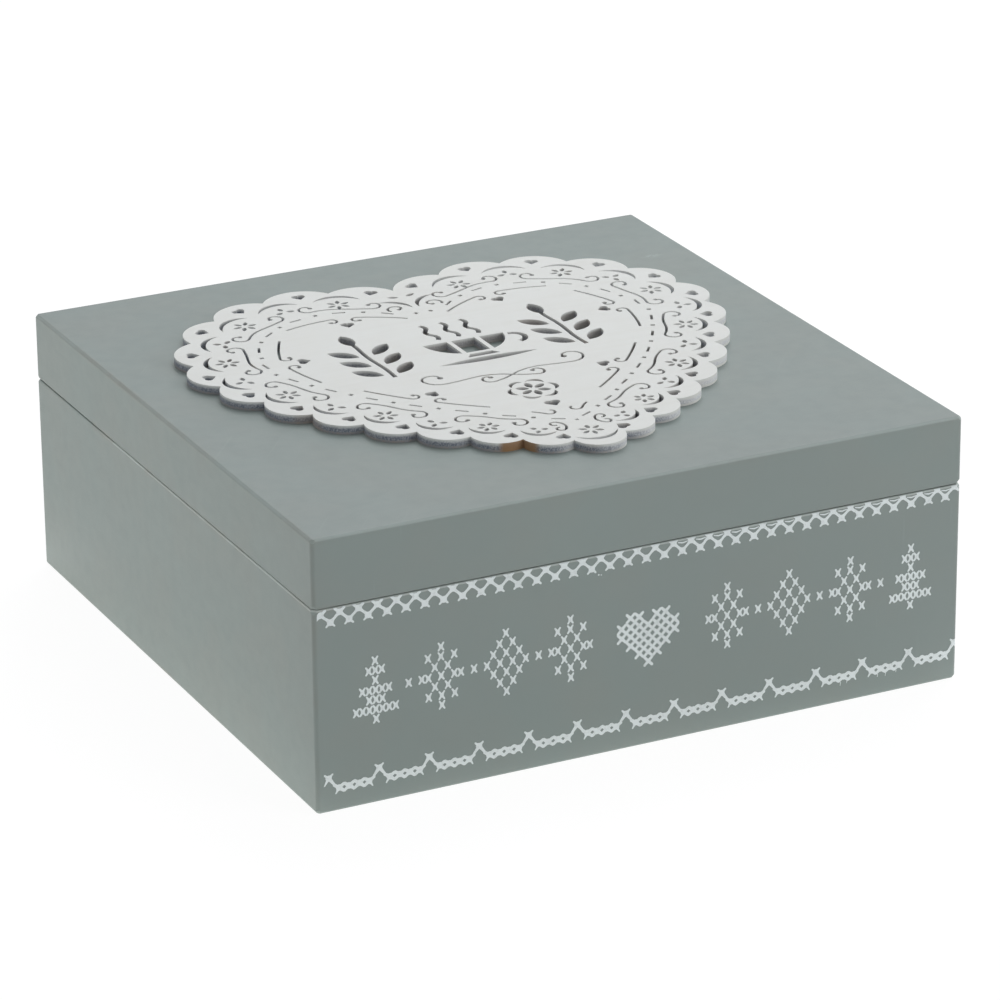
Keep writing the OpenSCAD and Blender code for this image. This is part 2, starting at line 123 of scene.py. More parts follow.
class Wiring:
    """Adds shader nodes to one tree and joins them."""

    def __init__(self, tree):
        self.tree = tree

    def feed(self, socket, value):
        """Links the socket to another one, or sets it to a constant."""
        if isinstance(value, bpy.types.NodeSocket):
            self.tree.links.new(value, socket)
        else:
            socket.default_value = value

    def node(self, kind, feeds=None, **settings):
        """A new node with its settings made and its inputs fed."""
        made = self.tree.nodes.new("ShaderNode" + kind)
        for key, value in settings.items():
            setattr(made, key, value)
        for key, value in (feeds or {}).items():
            self.feed(made.inputs[key], value)
        return made

    def ends(self):
        """What goes into a node group and what comes out of it."""
        return (self.tree.nodes.new("NodeGroupInput").outputs,
                self.tree.nodes.new("NodeGroupOutput").inputs)

    def math(self, operation, first, second=0.0, clamp=False):
        return self.node("Math", {0: first, 1: second}, operation=operation,
                         use_clamp=clamp).outputs[0]

    def plus(self, first, second):
        return self.math("ADD", first, second)

    def minus(self, first, second):
        return self.math("SUBTRACT", first, second)

    def times(self, first, second):
        return self.math("MULTIPLY", first, second)

    def size(self, value):
        """The value without its sign."""
        return self.math("ABSOLUTE", value)

    def off(self, value, middle):
        """How far the value is from middle, either way."""
        return self.size(self.minus(value, middle))

    def largest(self, value, *others):
        for other in others:
            value = self.math("MAXIMUM", value, other)
        return value

    def fade(self, value, start, end, low=0.0, high=1.0):
        """Smooth step from low at start to high at end."""
        return self.node("MapRange", {"Value": value, "From Min": start, "From Max": end,
                                      "To Min": low, "To Max": high},
                         interpolation_type="SMOOTHSTEP").outputs["Result"]

    def choose(self, mask, without, within):
        """One value outside the mask and the other within it."""
        return self.node("Mix", {0: mask, 2: without, 3: within}).outputs[0]

    def mix(self, mask, without, within):
        """One colour outside the mask and the other within it."""
        return self.node("Mix", {0: mask, 6: without, 7: within}, data_type="RGBA").outputs[2]

    def stretch(self, vector, scale):
        return self.node("VectorMath", {0: vector, 1: scale}, operation="MULTIPLY").outputs[0]

    def distance(self, first, second):
        return self.node("VectorMath", {0: first, 1: second},
                         operation="DISTANCE").outputs["Value"]

    def noise(self, vector, scale, detail=2.0, roughness=0.5, distortion=0.0):
        return self.node("TexNoise", {"Vector": vector, "Scale": scale, "Detail": detail,
                                      "Roughness": roughness,
                                      "Distortion": distortion}).outputs["Fac"]

    def group(self, name, **feeds):
        """A shared effect, placed with its own values."""
        made = self.node("Group", node_tree=bpy.data.node_groups[name])
        for key, value in feeds.items():
            self.feed(made.inputs[key], value)
        return made.outputs

    def place(self):
        """Object coordinates and their three parts."""
        spot = self.node("TexCoord").outputs["Object"]
        return spot, self.node("SeparateXYZ", {0: spot}).outputs

    def facing(self):
        """The three parts of the direction that the surface faces."""
        return self.node("SeparateXYZ", {0: self.node("TexCoord").outputs["Normal"]}).outputs

    def turned(self, parts, order):
        """The object coordinates with their axes in another order."""
        axis = dict(zip("XYZ", parts))
        return self.node("CombineXYZ", {i: axis[order[i]] for i in range(3)}).outputs[0]


def effect(name, inputs, outputs):
    """An empty node group with these sockets: its wiring, what it is given and its result."""
    tree = bpy.data.node_groups.new(name, "ShaderNodeTree")
    for label, kind, value in inputs:
        socket = tree.interface.new_socket(label, in_out="INPUT",
                                           socket_type="NodeSocket" + kind)
        if value is not None:
            socket.default_value = value
    for label, kind in outputs:
        tree.interface.new_socket(label, in_out="OUTPUT", socket_type="NodeSocket" + kind)
    wiring = Wiring(tree)
    return wiring, *wiring.ends()


# ---- shared effects ----

def build_wood_grain():
    """Streaks and pores of pale wood, with the grain along the first axis."""
    w, given, result = effect(
        "wood_grain",
        [("Vector", "Vector", None), ("Light", "Color", (0.7, 0.5, 0.3, 1)),
         ("Dark", "Color", (0.5, 0.3, 0.15, 1)), ("Contrast", "Float", 1.0)],
        [("Color", "Color"), ("Height", "Float")])
    bend = w.noise(w.stretch(given["Vector"], (9, 30, 30)), 1.0)
    shift = w.node("CombineXYZ", {1: w.times(bend, 0.012), 2: w.times(bend, 0.008)}).outputs[0]
    bent = w.node("VectorMath", {0: given["Vector"], 1: shift}, operation="ADD").outputs[0]
    streak = w.noise(w.stretch(bent, (14, 420, 420)), 1.0, 4.0, 0.6)
    broad = w.noise(w.stretch(bent, (5, 90, 90)), 1.0)
    pores = w.fade(w.noise(w.stretch(bent, (160, 2600, 2600)), 1.0, 1.0), 0.62, 0.74)
    dark = w.plus(w.fade(streak, 0.35, 0.72), w.fade(broad, 0.4, 0.75, 0.0, 0.6))
    dark = w.plus(dark, w.times(pores, 0.5))
    dark = w.math("MULTIPLY", w.times(dark, 0.6), given["Contrast"], clamp=True)
    w.feed(result["Color"], w.mix(dark, given["Light"], given["Dark"]))
    w.feed(result["Height"], w.minus(w.times(streak, 0.6), pores))


def build_edge_distance():
    """Distance to the nearest sanded edge of one half of the box."""
    w, given, result = effect(
        "edge_distance",
        [("Low", "Float", 0.0), ("High", "Float", 0.05), ("Half", "Float", 0.085)],
        [("Distance", "Float")])
    _, parts = w.place()
    gaps = [w.minus(given["Half"], w.size(parts[i])) for i in (0, 1)]
    gaps.append(w.math("MINIMUM", w.minus(parts[2], given["Low"]),
                       w.minus(given["High"], parts[2])))
    gaps = [w.largest(gap, 0.0) for gap in gaps]
    total = w.plus(w.plus(gaps[0], gaps[1]), gaps[2])
    w.feed(result["Distance"], w.minus(total, w.largest(*gaps)))


def build_edge_rub():
    """Paint rubbed thin along the edges, and small dark nicks in them."""
    w, given, result = effect(
        "edge_rub",
        [("Vector", "Vector", None), ("Distance", "Float", 0.0), ("Reach", "Float", 0.002),
         ("Amount", "Float", 0.5)],
        [("Thin", "Float"), ("Nick", "Float")])
    near = w.fade(given["Distance"], given["Reach"], 0.0)
    patch = w.fade(w.noise(given["Vector"], 55.0, 3.0, 0.6), 0.42, 0.68)
    w.feed(result["Thin"], w.times(w.times(near, patch), given["Amount"]))
    crumb = w.fade(w.noise(given["Vector"], 520.0, 2.0, 0.7), 0.66, 0.72)
    run = w.fade(w.noise(given["Vector"], 90.0, 1.0), 0.5, 0.62)
    edge = w.fade(given["Distance"], 0.9 * MM, 0.4 * MM)
    w.feed(result["Nick"], w.times(w.times(crumb, run), w.times(edge, given["Amount"])))


def build_handling_marks():
    """Faint handling marks: pale hair scratches and soft smears."""
    w, given, result = effect(
        "handling_marks",
        [("Vector", "Vector", None), ("Amount", "Float", 0.5)],
        [("Scratch", "Float"), ("Smear", "Float")])
    lines = []
    for angle, scale in ((0.6, 1.0), (-0.9, 1.35), (1.5, 0.8)):
        spun = w.node("VectorRotate", {"Vector": given["Vector"], "Angle": angle},
                      rotation_type="Z_AXIS").outputs[0]
        hair = w.noise(w.stretch(spun, (18 * scale, 900 * scale, 60)), 1.0, 0.0)
        some = w.noise(w.stretch(spun, (24 * scale, 40, 40)), 1.0, 1.0)
        lines.append(w.times(w.fade(hair, 0.79, 0.84), w.fade(some, 0.56, 0.66)))
    w.feed(result["Scratch"], w.times(w.largest(*lines), given["Amount"]))
    smear = w.noise(w.stretch(given["Vector"], (40, 75, 60)), 1.0, 3.0, 0.55, 0.4)
    w.feed(result["Smear"], w.times(w.fade(smear, 0.5, 0.78), given["Amount"]))


def build_sprayed_tooth():
    """Fine tooth of a sprayed and sanded coat."""
    w, given, result = effect(
        "sprayed_tooth",
        [("Vector", "Vector", None), ("Grit", "Float", 2600.0), ("Sanding", "Float", 0.3)],
        [("Height", "Float")])
    grit = w.noise(given["Vector"], given["Grit"], 2.0, 0.6)
    level = w.noise(given["Vector"], 260.0)
    sanding = w.noise(w.stretch(given["Vector"], (60, 1500, 1500)), 1.0, 1.0)
    height = w.plus(w.times(grit, 0.35), w.times(level, 0.5))
    w.feed(result["Height"], w.plus(height, w.times(sanding, given["Sanding"])))


def build_veneer_layers():
    """Layers of glued veneer, seen on a sawn edge. Share is how far through the sheet."""
    w, given, result = effect(
        "veneer_layers",
        [("Vector", "Vector", None), ("Share", "Float", 0.5), ("Outer", "Color", None),
         ("Core", "Color", None), ("Glue", "Color", None)],
        [("Color", "Color")])
    waver = w.times(w.minus(w.noise(given["Vector"], 150.0), 0.5), 0.07)
    off = w.off(w.plus(given["Share"], waver), 0.5)
    glue = w.fade(w.off(off, 0.175), 0.028, 0.008)
    streak = w.fade(w.noise(w.stretch(given["Vector"], (900, 900, 2200)), 1.0), 0.4, 0.7)
    bands = w.mix(w.fade(off, 0.19, 0.16), given["Outer"], given["Core"])
    bands = w.mix(w.times(streak, 0.35), bands, given["Glue"])
    w.feed(result["Color"], w.mix(w.times(glue, 0.7), bands, given["Glue"]))


def build_effects():
    """Builds the shared effects once."""
    if "wood_grain" not in bpy.data.node_groups:
        for build in (build_wood_grain, build_edge_distance, build_edge_rub,
                      build_handling_marks, build_sprayed_tooth, build_veneer_layers):
            build()


# ---- finishes ----

def blank_material(name):
    """A material with no nodes, and its wiring."""
    material = bpy.data.materials.new(name)
    material.use_nodes = True
    material.node_tree.nodes.clear()
    return material, Wiring(material.node_tree)


def new_material(name):
    """A material, its wiring and the inputs of its Principled shader."""
    material, w = blank_material(name)
    shader = w.node("BsdfPrincipled")
    w.feed(w.node("OutputMaterial").inputs["Surface"], shader.outputs[0])
    return material, w, shader.inputs


def bumped(w, height, depth, strength):
    """The normal of a relief that is depth metres high."""
    return w.node("Bump", {"Height": height, "Distance": depth,
                           "Strength": strength}).outputs[0]


def rgba(colour):
    return (*colour, 1.0)


def tinted(colour, scale, shift=(0.0, 0.0, 0.0)):
    """The colour times scale, with a small shift of hue."""
    return rgba([max(0.0, c * scale + s) for c, s in zip(colour, shift)])


def dress(nodes, material):
    """Gives construction nodes their material."""
    for name in nodes:
        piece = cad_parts[name]
        piece.data.materials.clear()
        piece.data.materials.append(material)


def painted_side(w, spot, parts):
    """Mask of the outside: the paint laps a little over the rim and stops there."""
    waver = w.times(w.minus(w.noise(spot, 260.0), 0.5), LAP_WAVER)
    reach = w.plus(w.largest(w.size(parts[0]), w.size(parts[1])), waver)
    return w.largest(w.fade(reach, HALF_W - LAP - LAP_FADE, HALF_W - LAP),
                     w.fade(parts[2], LID_TOP - PANEL_SKIN - SKIN_FADE, LID_TOP - PANEL_SKIN),
                     w.fade(parts[2], FOOT_SKIN + SKIN_FADE, FOOT_SKIN))


def wear_amount(w, parts, left, look):
    """How worn the edges are: most on the left side, a little behind its middle."""
    worn = w.times(left, w.fade(w.off(parts[1], 28 * MM), 45 * MM, 18 * MM, 0.35, 1.0))
    return w.times(w.plus(w.times(worn, 0.8), 0.2), look.wear)


def scuff_mask(w, spot, look):
    """One pale scuff on the lid, longest from left to right."""
    flat = 0.4
    away = w.distance(w.stretch(spot, (flat, 1.0, 1.0)),
                      (look.scuff_place[0] * flat, look.scuff_place[1], LID_TOP))
    return w.times(w.fade(away, 1.6 * MM, 0.4 * MM), w.fade(w.noise(spot, 900.0), 0.35, 0.6))


def painted_edge_highlight_mask(w, left):
    """The rounded top edges, lightened in colour: a painted highlight, a little less on the left
    side.
    """
    up = w.facing()[2]
    slope = w.minus(1.0, w.off(w.times(up, up), 0.5))
    slope = w.times(w.fade(slope, 0.5, 0.85), w.fade(up, 0.0, 0.2))
    return w.times(slope, w.fade(left, 0.0, 1.0, 1.0, 0.8))


def painted_joint_light_mask(w, parts, left):
    """Painted light in the joint under the lid, lifting its shade, but not at the far end of the
    left side.
    """
    joint = w.fade(w.off(parts[2], RIM_Z), 0.46 * MM, 0.32 * MM)
    near = w.times(left, w.fade(parts[1], 52 * MM, 30 * MM))
    return w.times(joint, w.plus(w.times(near, 0.5), w.fade(left, 1.0, 0.0, 0.0, 0.35)))


def coat_colour(w, spot, parts, left, rub, marks, look):
    """The paint: soft patches, marks, a painted highlight on the top edges, painted light in the
    joint under the lid, and rubbed edges.
    """
    paint = w.mix(w.fade(w.noise(spot, 48.0, 3.0, 0.55), 0.35, 0.7),
                  tinted(look.paint, 1.0, (-0.004, 0.002, 0.001)),
                  tinted(look.paint, 1.0, (0.004, 0.0, -0.004)))
    paint = w.mix(w.fade(w.noise(spot, 14.0), 0.35, 0.7, 0.0, 0.5), paint,
                  tinted(look.paint, 0.955))
    paint = w.mix(marks["Smear"], paint, tinted(look.paint, 1.09))
    paint = w.mix(marks["Scratch"], paint, tinted(look.paint, 1.3))
    paint = w.mix(scuff_mask(w, spot, look), paint, tinted(look.paint, 1.22))
    # Painted highlight: the rounded top edges are lightened in colour
    paint = w.mix(painted_edge_highlight_mask(w, left), paint, tinted(look.paint, 1.45))
    # Painted light: the joint under the lid is lightened in colour to lift its shade
    paint = w.mix(painted_joint_light_mask(w, parts, left), paint,
                  tinted(look.paint, 2.8, (0.05, -0.02, -0.01)))
    paint = w.mix(rub["Thin"], paint, rgba(look.rubbed))
    return w.mix(rub["Nick"], paint, tinted(look.rubbed, 0.35))


def painted_board_material(name, order, low, high, look):
    """Paint outside, bare wood inside, for one half of the box and one run of the grain."""
    material, w, shader = new_material(name)
    spot, parts = w.place()
    run = w.turned(parts, order)
    outside = painted_side(w, spot, parts)
    left = w.fade(parts[0], -HALF_W + 12 * MM, -HALF_W + 3 * MM)
    distance = w.group("edge_distance", Low=low, High=high, Half=HALF_W)["Distance"]
    rub = w.group("edge_rub", Vector=spot, Distance=distance, Reach=look.wear_reach,
                  Amount=wear_amount(w, parts, left, look))
    marks = w.group("handling_marks", Vector=run, Amount=look.marks)
    tooth = w.group("sprayed_tooth", Vector=run, Sanding=0.12)["Height"]
    grain = w.group("wood_grain", Vector=run, Light=rgba(look.wood_light),
                    Dark=rgba(look.wood_dark), Contrast=0.8)
    paint = coat_colour(w, spot, parts, left, rub, marks, look)
    w.feed(shader["Base Color"], w.mix(outside, grain["Color"], paint))

    sheen = w.minus(w.fade(tooth, 0.3, 0.8, 0.44, 0.58), w.times(rub["Thin"], 0.1))
    bare = w.fade(grain["Height"], -0.3, 0.5, 0.78, 0.62)
    w.feed(shader["Roughness"], w.choose(outside, bare, sheen))
    shader["Specular IOR Level"].default_value = 0.42

    relief = w.minus(w.times(tooth, 0.16), rub["Nick"])
    relief = w.plus(w.minus(relief, w.times(marks["Scratch"], 0.25)), 0.6)
    height = w.choose(outside, w.times(grain["Height"], 0.5), relief)
    w.feed(shader["Normal"], bumped(w, height, 0.08 * MM, 0.9))
    return material


def divider_material(name, order, look):
    """Thin plywood: veneer on the broad faces, layers on the sawn edges."""
    material, w, shader = new_material(name)
    spot, parts = w.place()
    run = w.turned(parts, order)
    grain = w.group("wood_grain", Vector=run, Light=rgba(look.wood_light),
                    Dark=rgba(look.wood_dark), Contrast=1.0)
    through = parts[1] if order == ACROSS else parts[0]
    layers = w.group("veneer_layers", Vector=run,
                     Share=w.plus(w.math("DIVIDE", through, DIVIDER_T), 0.5),
                     Outer=tinted(look.wood_light, 0.95), Core=tinted(look.wood_dark, 0.9),
                     Glue=tinted(look.wood_dark, 0.45))["Color"]
    sawn = w.fade(w.size(w.facing()[2]), 0.5, 0.7)
    smoke = w.times(sawn, w.fade(w.noise(spot, 120.0), 0.4, 0.7, 0.0, 0.35))
    colour = w.mix(sawn, grain["Color"], layers)
    w.feed(shader["Base Color"], w.mix(smoke, colour, tinted(look.wood_dark, 0.6)))
    w.feed(shader["Roughness"], w.fade(grain["Height"], -0.3, 0.5, 0.8, 0.62))
    shader["Specular IOR Level"].default_value = 0.35
    w.feed(shader["Normal"], bumped(w, grain["Height"], 0.05 * MM, 0.8))
    return material


def cut_edge_colour(w, spot, parts, facing, look):
    """The cut edge, from the lid up: a pale foot, a speckled core, a lighter upper layer."""
    foot_end, line_at, upper_start = 0.27, 0.31, 0.56
    # Cut edges on the right, and those facing right, are pale: partly whitewash, partly painted
    # light from the right. Those on the left are grey-blue
    wash_and_painted_light = w.plus(w.times(parts[0], 7.0), w.times(facing[0], 0.45))
    wash_and_painted_light = w.fade(w.plus(wash_and_painted_light, w.times(w.noise(spot, 60.0), 0.8)), 0.0, 0.9)
    inner = w.fade(w.distance(spot, (0, -4 * MM, LID_TOP)), 56 * MM, 46 * MM)
    wobble = w.times(w.minus(w.noise(spot, 190.0), 0.5), 0.16)
    height = w.math("DIVIDE", w.minus(parts[2], LID_TOP), HEART_TOP - LID_TOP)
    height = w.plus(height, wobble)

    speck = w.fade(w.noise(w.stretch(spot, (3200, 3200, 2400)), 1.0, 2.0, 0.6), 0.42, 0.62)
    dark = w.mix(wash_and_painted_light, rgba(look.edge_dark), tinted(look.whitewash, 0.9, (-0.02, -0.02, 0.04)))
    light = w.mix(wash_and_painted_light, rgba(look.edge_light), tinted(look.whitewash, 1.05, (0, 0, 0.02)))
    core = w.mix(speck, dark, light)
    upper = w.mix(w.times(speck, 0.8), w.mix(0.6, dark, light),
                  w.mix(0.35, light, rgba(look.whitewash)))
    foot = w.mix(w.times(speck, 0.5), tinted(look.edge_light, 0.7), rgba(look.scorch_light))
    foot = w.mix(wash_and_painted_light, foot, tinted(look.whitewash, 0.95))
    edge = w.mix(w.fade(height, upper_start, upper_start + 0.12), core, upper)
    edge = w.mix(w.fade(height, foot_end, foot_end - 0.07), edge, foot)
    edge = w.mix(w.times(inner, w.fade(wash_and_painted_light, 0.0, 1.0, 0.25, 0.8)), edge,
                 rgba(look.inner_edge))
    line = w.times(w.fade(w.off(height, line_at), 0.06, 0.02), w.fade(wash_and_painted_light, 0.0, 1.0, 0.3, 0.1))
    edge = w.mix(line, edge, tinted(look.edge_dark, 0.6))
    edge = w.mix(w.fade(height, 0.6, 1.0), edge, rgba(look.whitewash))

    tan = w.times(w.fade(w.noise(spot, 95.0), 0.56, 0.7, 0.0, 0.35),
                  w.fade(wash_and_painted_light, 0.0, 1.0, 1.0, 0.15))
    edge = w.mix(tan, edge, rgba(look.scorch_light))
    patch = w.distance(spot, (*look.scorch_place, LID_TOP + 1.3 * MM))
    patch = w.plus(patch, w.times(wobble, 8 * MM))
    burnt = w.fade(patch, look.scorch_size, look.scorch_size * 0.6)
    return w.mix(w.times(burnt, 0.9), edge, rgba(look.scorch))


def heart_material(look):
    """Whitewashed laser-cut plywood: chalky top, grey-blue layered edges, one browned patch."""
    material, w, shader = new_material("whitewashed_fretwork")
    spot, parts = w.place()
    facing = w.facing()
    top = w.fade(facing[2], 0.5, 0.75)
    grain = w.group("wood_grain", Vector=w.turned(parts, ACROSS), Light=rgba(look.whitewash),
                    Dark=tinted(look.whitewash, 0.93, (0.01, 0.0, -0.015)), Contrast=0.5)
    chalk = w.fade(w.noise(spot, 70.0, 3.0, 0.6), 0.35, 0.7, 0.0, 0.35)
    white = w.mix(chalk, grain["Color"], tinted(look.whitewash, 1.03, (-0.01, 0.0, 0.012)))
    tooth = w.group("sprayed_tooth", Vector=spot, Grit=3600.0, Sanding=0.15)["Height"]
    edge = cut_edge_colour(w, spot, parts, facing, look)
    w.feed(shader["Base Color"], w.mix(top, edge, white))
    w.feed(shader["Roughness"], w.fade(tooth, 0.3, 0.8, 0.6, 0.8))
    shader["Specular IOR Level"].default_value = 0.3
    ribs = w.noise(w.stretch(spot, (5200, 5200, 160)), 1.0, 1.0)
    fibre = w.plus(w.times(tooth, 0.3), w.times(grain["Height"], 0.25))
    w.feed(shader["Normal"], bumped(w, w.choose(top, ribs, fibre), 0.06 * MM, 0.8))
    return material


def print_material(look):
    """White screen print, thin enough for the paint under it to show in places."""
    material, w, shader = new_material("stitch_ink")
    spot, _ = w.place()
    tooth = w.group("sprayed_tooth", Vector=spot, Grit=3000.0, Sanding=0.2)["Height"]
    thin = w.fade(w.noise(spot, 1500.0, 2.0, 0.6), 0.5, 0.75, 0.0, 0.32)
    patchy = w.fade(w.noise(spot, 110.0), 0.45, 0.75, 0.0, 0.16)
    w.feed(shader["Base Color"], w.mix(w.plus(thin, patchy), rgba(look.ink),
                                       tinted(look.ink, 0.62)))
    w.feed(shader["Roughness"], w.fade(tooth, 0.3, 0.8, 0.5, 0.66))
    shader["Specular IOR Level"].default_value = 0.4
    w.feed(shader["Normal"], bumped(w, tooth, 0.03 * MM, 0.8))
    return material


def brass_material(name, look, scale, dull):
    """Satin brass with fine lines along the hinge and spots of tarnish."""
    material, w, shader = new_material(name)
    spot, parts = w.place()
    lines = w.noise(w.stretch(spot, (90 * scale, 5200, 5200)), 1.0, 2.0, 0.6)
    marks = w.group("handling_marks", Vector=w.turned(parts, "XZY"), Amount=0.6)
    spots = w.fade(w.noise(spot, 420.0, 3.0, 0.65), 0.5, 0.7, 0.0, 0.6)
    colour = w.mix(spots, rgba(look.brass), tinted(look.brass, 0.62, (0.01, 0.0, 0.0)))
    w.feed(shader["Base Color"], w.mix(marks["Scratch"], colour, tinted(look.brass, 1.15)))
    shader["Metallic"].default_value = 1.0
    w.feed(shader["Roughness"], w.plus(w.fade(lines, 0.3, 0.7, dull, dull + 0.12),
                                       w.times(spots, 0.25)))
    w.feed(shader["Normal"], bumped(w, lines, 0.015 * MM, 0.7))
    return material


# ---- the front print ----

def stroke(start, end, root, tip, hand):
    """Outline of one brush-like arm, in millimetres, from its root to its rounded tip."""
    stops, taper, waver, roundness = (0.0, 0.4, 0.75, 1.0), 1.5, 0.08, 0.42
    along = (end - start).normalized()
    side = Vector((-along.y, along.x))
    length = (end - start).length
    outline = []
    for sign in (1, -1):
        for stop in stops[::sign]:
            width = tip + (root - tip) * (1 - stop) ** taper
            half = width / 2 * (1 + hand.uniform(-waver, waver))
            outline.append(start + along * length * stop + side * sign * half)
        for turn in (0.25, 0.5, 0.75) if sign > 0 else ():
            angle = math.pi * turn
            outline.append(end + side * math.cos(angle) * tip * roundness
                           + along * math.sin(angle) * tip * roundness)
    return outline


def cross_stitch(x, z, arms, root, blob, hand):
    """Tapering arms and the ink that fills their crossing.

    Each arm gives how far it reaches across and up, and how wide its tip is.
    """
    corners, drift, waver = 10, 0.04, 0.06
    middle = Vector((x + hand.uniform(-drift, drift), z + hand.uniform(-drift, drift)))
    turns = [t * math.tau / corners for t in range(corners)]
    puddle = [middle + Vector((math.cos(turn), math.sin(turn)))
              * blob * hand.uniform(1 - waver, 1 + waver) for turn in turns]
    return [stroke(middle, middle + Vector((across, up)), root, tip, hand)
            for across, up, tip in arms] + [puddle]


def mirrored(*arms):
    """Each arm and its mirror image, the one on the right first."""
    return [(sign * across, up, tip) for across, up, tip in arms for sign in (1, -1)]


def tilted(x, z, look):
    """The whole print sits a little askew on the board."""
    lean = math.tan(look.print_tilt)
    return x - (z - PRINT_PIVOT.y) * lean, z + (x - PRINT_PIVOT.x) * lean


def clipped(outline):
    """The part of an outline that is inside the limits of the print."""
    for normal, limit in PRINT_LIMITS:
        kept = []
        for here, after in zip(outline, outline[1:] + outline[:1]):
            past, past_after = here.dot(normal) - limit, after.dot(normal) - limit
            if past <= 0:
                kept.append(here)
            if past * past_after < 0:
                kept.append(here.lerp(after, past / (past - past_after)))
        outline = kept
    return outline


def ink_cells(outlines):
    """Points and triangles, all flat, of what overlapping outlines cover together."""
    points, faces, edges = [], [], []
    for outline in map(clipped, outlines):
        if sum(a.cross(b) for a, b in zip(outline, outline[1:] + outline[:1])) < 0:
            outline.reverse()
        if len(outline) > 2:
            faces.append(list(range(len(points), len(points) + len(outline))))
            points.extend(outline)
    bends = [((x, 0), (x, BEND_HIGH)) for x in CORNER_BENDS]
    bends += [((-BEND_WIDE, z), (BEND_WIDE, z)) for z in RIM_BENDS]
    for ends in bends:
        edges.append((len(points), len(points) + 1))
        points.extend(Vector(end) for end in ends)
    only_inside, nearly_same = 1, 1e-5
    flat, _, cells, _, _, owners = delaunay_2d_cdt(points, edges, faces, only_inside,
                                                   nearly_same)
    kept = []
    for cell, owner in zip(cells, owners):
        if owner:
            a, b, c = (flat[i] for i in cell)
            turns_left = (b - a).cross(c - a) > 0
            kept.append(tuple(cell) if turns_left else tuple(reversed(cell)))
    return flat, kept


def on_front(x_mm, z_mm, lift):
    """The point over the front board, which rounds away at the corners and at the rim."""
    x, z = x_mm * MM, z_mm * MM
    y = FRONT_Y - lift
    for past, radius in ((abs(x) - (HALF_W - CORNER_R), CORNER_R),
                         (z - (RIM_Z - RIM_R), RIM_R)):
        if past > 0:
            y += radius - math.sqrt(max(radius ** 2 - past ** 2, 0.0))
    return Vector((x, y, z))


def add_object(name, data):
    """A new object in the scene with this data."""
    made = bpy.data.objects.new(name, data)
    bpy.context.scene.collection.objects.link(made)
    return made


def printed(name, outlines, look):
    """One closed skin of ink over the front board, from overlapping outlines."""
    flat, cells = ink_cells(outlines)
    used = sorted({i for cell in cells for i in cell})
    index = {old: new for new, old in enumerate(used)}
    count = len(used)
    verts = [on_front(*flat[i], lift) for lift in (look.ink_height, -INK_ROOT) for i in used]
    rims = {(a, b) for cell in cells for a, b in zip(cell, cell[1:] + cell[:1])}
    # The front, the back, and the walls between them
    polygons = [tuple(index[i] for i in cell) for cell in cells]
    polygons += [tuple(index[i] + count for i in reversed(cell)) for cell in cells]
    polygons += [(index[b], index[a], index[a] + count, index[b] + count)
                 for a, b in sorted(rims) if (b, a) not in rims]
    mesh = bpy.data.meshes.new(name)
    mesh.from_pydata(verts, [], polygons)
    mesh.validate()
    mesh.materials.append(bpy.data.materials.get("stitch_ink") or print_material(look))
    piece = add_object(name, mesh)
    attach(piece, "base")


def upper_border(look, hand):
    """Lace of two rows of crosses under the rim, with small bowls in it on the right."""
    pitch, step, count = 4.75, 2.25, 36
    first_x, high_z, low_z = -83.0, 49.45, 47.25
    across, up = pitch / 4 * 1.04, step / 2 * 1.02
    high = mirrored((across, up * 0.85, 0.62), (across, -up, 0.64))
    high_first = high[:1] + high[2:]
    low = mirrored((across, up, 0.64), (1.05, -1.0, 0.46))
    bowls_from, bowl_share, bowl_half, bowl_deep, bowl_z = 8.0, 0.85, 1.3, 0.26, 49.72
    lace = []
    for i in range(count):
        x = first_x + pitch * i
        lace += cross_stitch(*tilted(x, high_z, look), high if i else high_first, root=1.0,
                             blob=0.84, hand=hand)
        x += pitch / 2
        if i < count - 1:
            lace += cross_stitch(*tilted(x, low_z, look), low, root=1.05, blob=0.86,
                                 hand=hand)
        if x > bowls_from and hand.random() < bowl_share:
            for side in (-bowl_half, bowl_half):
                lace.append(stroke(Vector((x + side, bowl_z + bowl_deep)),
                                   Vector((x, bowl_z)), root=0.2, tip=0.34, hand=hand))
    # Two specks of stray ink
    for x, z, wide in ((-12.6, 45.85, 0.4), (-11.9, 45.7, 0.26)):
        lace.append(stroke(Vector((x, z)), Vector((x + 0.2, z)), root=wide, tip=wide,
                           hand=hand))
    return lace


def lower_border(look, hand):
    """Chain of crosses over the foot, raised at every fifth one, with a few drips."""
    pitch, count = 2.557, 14
    first_x, raised_z, chain_z, drip_z = -82.1, 8.65, 5.9, 4.6
    raised = mirrored((1.0, 0.92, 0.46), (1.36, -1.72, 0.62))
    raised_first = raised[:3] + [(-1.1, -1.75, 0.3)]
    chain = mirrored((1.24, 0.82, 0.8), (1.24, -1.0, 0.76))
    right_claw, left_claw = mirrored((0.84, -1.4, 0.34))
    # The first and the last link between two raised crosses reach down in a thin claw
    links = (chain[:3] + [left_claw], chain, chain, chain[:2] + [right_claw, chain[3]])
    lace = []
    for i in range(count):
        x = first_x + pitch * (len(links) + 1) * i
        lace += cross_stitch(*tilted(x, raised_z, look), raised if i else raised_first,
                             root=1.1, blob=0.8, hand=hand)
        if i < count - 1:
            for k, arms in enumerate(links, 1):
                lace += cross_stitch(*tilted(x + pitch * k, chain_z, look), arms, root=1.0,
                                     blob=0.84, hand=hand)
    for x, drop in ((52.6, 0.9), (54.4, 0.5), (62.9, 0.7), (65.1, 0.9), (68.0, 0.5)):
        top = Vector(tilted(x, drip_z, look))
        lace.append(stroke(top, top - Vector((0.1, drop)), root=0.22, tip=0.1, hand=hand))
    return lace


# ---- stage ----

